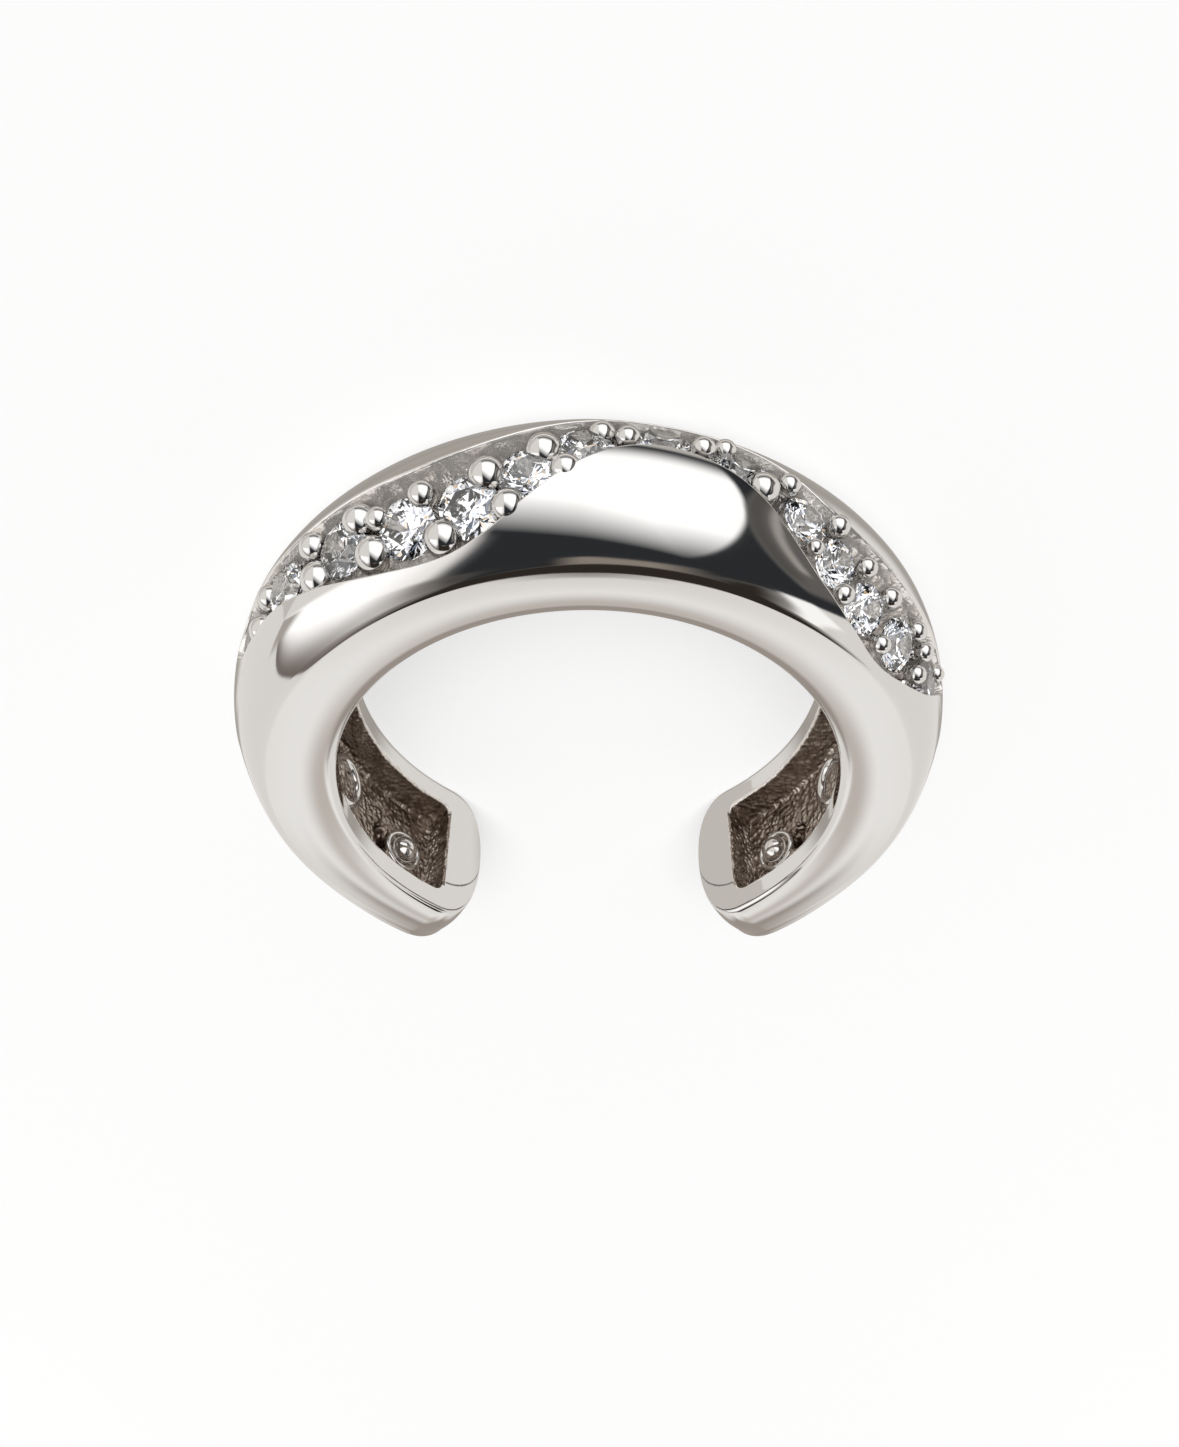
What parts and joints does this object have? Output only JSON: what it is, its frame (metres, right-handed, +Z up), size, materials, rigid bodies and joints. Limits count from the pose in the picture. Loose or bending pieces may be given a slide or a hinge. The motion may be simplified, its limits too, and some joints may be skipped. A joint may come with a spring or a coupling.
{
  "type": "ear cuff",
  "caption": "Open ear cuff of polished white metal with two smooth wave lobes and a sunk, wavy row of clear round stones held by grains.",
  "frame": {"origin": "bottom centre of the outline, on the back side face that the cuff lies on", "axes": "+Z up from the back side face to the front side face, +Y to the top of the ring, -Y to the open mouth, +X to the right arm as seen from the front face"},
  "size_m": [0.0128, 0.012, 0.0032],
  "materials": {
    "polished_silver": "mirror polish, rough cast in the channel floor and the inner pocket",
    "clear_stone": "faceted, clear"
  },
  "bodies": {
    "root": {"cuff": "polished_silver", "stone_01": "clear_stone", "stone_02": "clear_stone", "stone_03": "clear_stone", "stone_04": "clear_stone", "stone_05": "clear_stone", "stone_06": "clear_stone", "stone_07": "clear_stone", "stone_08": "clear_stone", "stone_09": "clear_stone", "stone_10": "clear_stone", "stone_11": "clear_stone", "stone_12": "clear_stone", "stone_13": "clear_stone", "stone_14": "clear_stone"}
  },
  "joints": []
}
